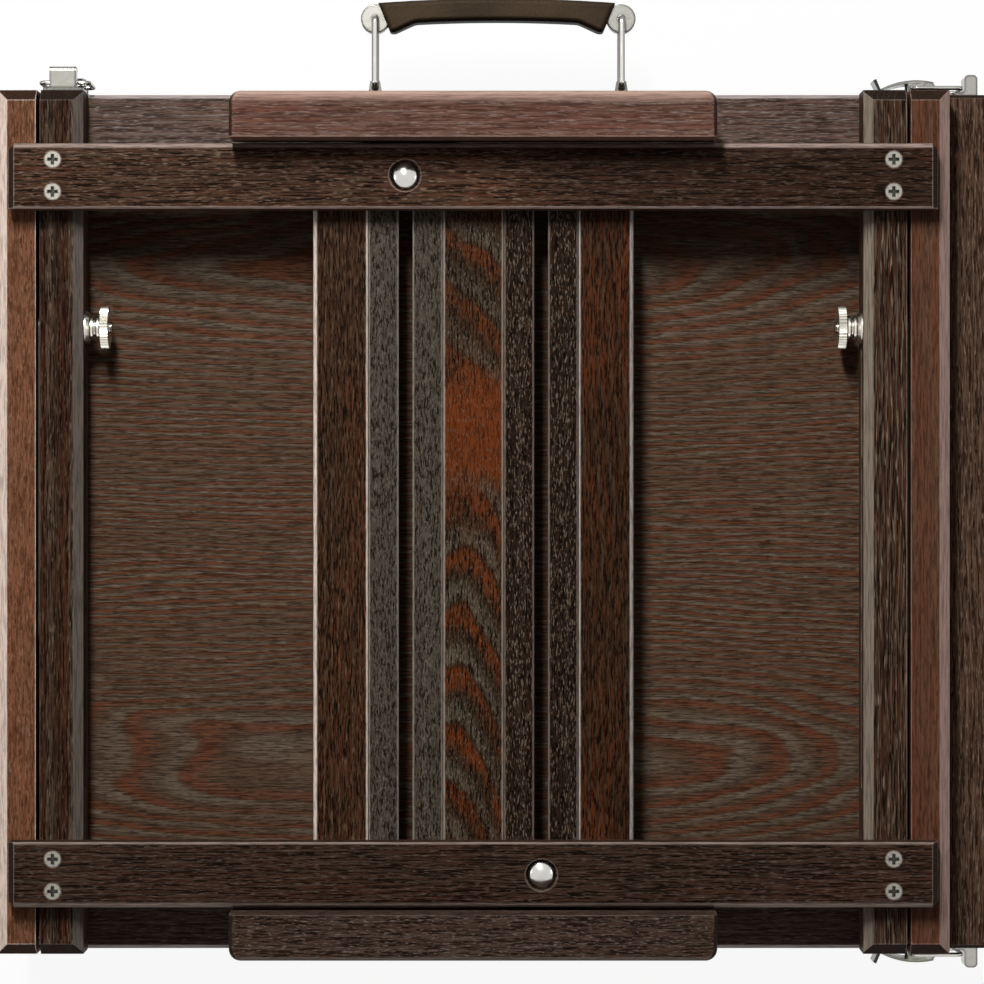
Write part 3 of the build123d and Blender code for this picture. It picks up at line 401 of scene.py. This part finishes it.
# The box and its drawer
board("front", "Y", "drawer_front", streaks=80.0, centre=-0.29, ring=0.0024, pores=0.9, cloud=0.35)
board("front", "X", "far_wall", "near_wall", slant=0.06)
board("front", "Y", "left_wall", slant=0.06)
board("front", "X", "box_floor", ring=0.004, centre=0.02, slant=0.05)
board("inside", "X", "drawer_side_far", "drawer_side_near", "drawer_runners", figure=0.4, pores=0.3)
board("inside", "Y", "drawer_back", figure=0.4, pores=0.3)
board("inside", "X", "drawer_dividers", figure=0.4, pores=0.3)
board("inside", "X", "drawer_floor", ring=0.006, slant=0.08, figure=0.45, pores=0.25)

# Metal pieces. Screws get painted shade in their recesses, studs are darker at their tips and levers get
# a painted dark reflection at their lips.
nickel = (172, 169, 162)
near_nickel = (150, 150, 136)
bright_nickel = (222, 217, 204)
plain_steel = (180, 178, 172)
screw_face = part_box("crossbar_screws")[1][2]
lip_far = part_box("latch_lever_far")[0][0]
lip_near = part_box("latch_lever_near")[0][0]
lip_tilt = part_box("latch_lever_tilt")[1][1]
tip_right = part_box("knurled_nut_right")[0][0]
tip_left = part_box("knurled_nut_left")[1][0]
tip_fade = 0.0003
# Widths of the painted dark reflection along the edges of the nickel pieces and the latches
nut_rim = 0.0002
latch_rim = 0.0018

dress(metal("frame_screws", (142, 138, 129), 0.36, wear=0.7, scale=900.0, rim=0.0005,
            shades=[(2, screw_face - 0.0004, screw_face - 0.0008)]), "crossbar_screws")
dress(metal("hidden_screws", plain_steel, 0.4), "block_screws_upper", "block_screws_lower")
dress(metal("bolts", (206, 203, 198), 0.14, wear=0.1, sides=0.7), "clamp_bolts", "clamp_washers")
dress(metal("clamp_nuts", plain_steel, 0.32), "clamp_nut_upper", "clamp_nut_lower")
dress(metal("thumb_nuts", bright_nickel, 0.24, rim=nut_rim), "knurled_nut_right", "knurled_nut_left")
dress(metal("stud_right", bright_nickel, 0.24, rim=nut_rim,
            shades=[(0, tip_right, tip_right - tip_fade)]), "stay_stud_right")
dress(metal("stud_left", bright_nickel, 0.24, rim=nut_rim,
            shades=[(0, tip_left, tip_left + tip_fade)]), "stay_stud_left")
dress(metal("blackened", (60, 57, 52), 0.45), "stay_right", "stay_left", "stay_rivets", "hinge_pins")
dress(metal("handle_wire", (226, 224, 218), 0.1, wear=0.1, sides=0.75, turn=(0.97, 0.8),
            rim=nut_rim), "handle_bail_left", "handle_bail_right")
dress(metal("handle_metal", (134, 132, 126), 0.3, wear=0.6, rim=0.0016), "handle_barrels")
dress(metal("bracket_metal", (112, 109, 101), 0.26), "handle_bracket_left", "handle_bracket_right",
      "bracket_screws")
dress(metal("latch_metal", nickel, 0.16, rim=latch_rim), "latch_bases", "latch_base_screws",
      "drawer_catches", "tilt_catch")
dress(metal("lever_far", nickel, 0.16, rim=latch_rim,
            shades=[(0, lip_far + 0.005, lip_far + 0.003)]), "latch_lever_far")
dress(metal("lever_near", near_nickel, 0.2, rim=latch_rim,
            shades=[(0, lip_near + 0.005, lip_near + 0.003)]), "latch_lever_near")
dress(metal("lever_tilt", nickel, 0.16, rim=latch_rim,
            shades=[(1, lip_tilt - 0.0035, lip_tilt - 0.002)]), "latch_lever_tilt")
dress(metal("latch_wire", (190, 188, 182), 0.12, sides=0.6, turn=(0.95, 0.75)), "latch_loop_far",
      "latch_loop_near", "latch_loop_tilt")
dress(grip_skin("grip_skin"), "handle_grip")
dress(rubber("feet_rubber"), "rubber_feet")


def floor_material():
    """A pale floor that keeps the object's shadow and shows white to the camera and in gloss."""
    g = new_graph("floor_white")
    g.tree.nodes.remove(g.shader)
    plain = g.add("ShaderNodeBsdfDiffuse", Color=(0.9, 0.9, 0.9, 1.0))
    bright = g.add("ShaderNodeEmission", Strength=1.0)
    white_share = 0.92
    both = g.add("ShaderNodeMixShader", i0=g.times(g.seen(), white_share), i1=plain, i2=bright)
    g.put(g.tree.nodes["Material Output"].inputs["Surface"], both)
    return g.owner


# The floor, which is the only piece that the scene adds
reach = 6.0
corners = [(-reach, -reach, 0), (reach, -reach, 0), (reach, reach, 0), (-reach, reach, 0)]
ground = bpy.data.meshes.new("floor")
ground.from_pydata(corners, [], [(0, 1, 2, 3)])
ground.materials.append(floor_material())
floor = bpy.data.objects.new("floor", ground)
bpy.context.collection.objects.link(floor)

# World: a plain level of light on the object, and white where the camera or a reflection sees it
studio = Graph(bpy.data.worlds.new("studio"))
bpy.context.scene.world = studio.owner
background = studio.tree.nodes["Background"].inputs
background["Color"].default_value = (1.0, 1.0, 1.0, 1.0)
level = studio.add("ShaderNodeMapRange", Value=studio.seen(), To_Min=0.05, To_Max=1.0)
studio.put(background["Strength"], level)

# Lamps, all turned to the middle of the object
object_middle = Vector((0, 0, 0.1))


def lamp(name, place, width, height, watts):
    """A plain rectangular lamp that the camera doesn't see."""
    data = bpy.data.lights.new(name, "AREA")
    data.shape = "RECTANGLE"
    data.size = width
    data.size_y = height
    data.energy = watts
    thing = bpy.data.objects.new(name, data)
    thing.location = place
    thing.rotation_euler = (object_middle - Vector(place)).to_track_quat("-Z", "Y").to_euler()
    thing.visible_camera = False
    bpy.context.collection.objects.link(thing)


lamp("key", (-0.23, 0.94, 1.35), 0.12, 0.6, 26.5)
lamp("left", (-1.3, 0.1, 0.5), 0.4, 1.2, 3.2)
lamp("right", (1.3, 0.1, 0.5), 0.4, 1.2, 2.5)
lamp("front", (0, -1.3, 0.32), 1.2, 0.4, 3.5)

# Camera: straight down, with the photograph's scale in metres a pixel at the frame's level
photo_width = 984
photo_scale = 0.00045
frame_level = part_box("upright_left")[1][2]
camera_height = 1.6
camera = bpy.data.cameras.new("camera")
camera.sensor_width = 36.0
camera.lens = camera.sensor_width * camera_height / (photo_width * photo_scale)
camera.clip_start = 0.05
viewer = bpy.data.objects.new("camera", camera)
viewer.location = (0.0084, 0.0135, frame_level + camera_height)
bpy.context.collection.objects.link(viewer)
bpy.context.scene.camera = viewer
bpy.context.scene.view_settings.view_transform = "Standard"
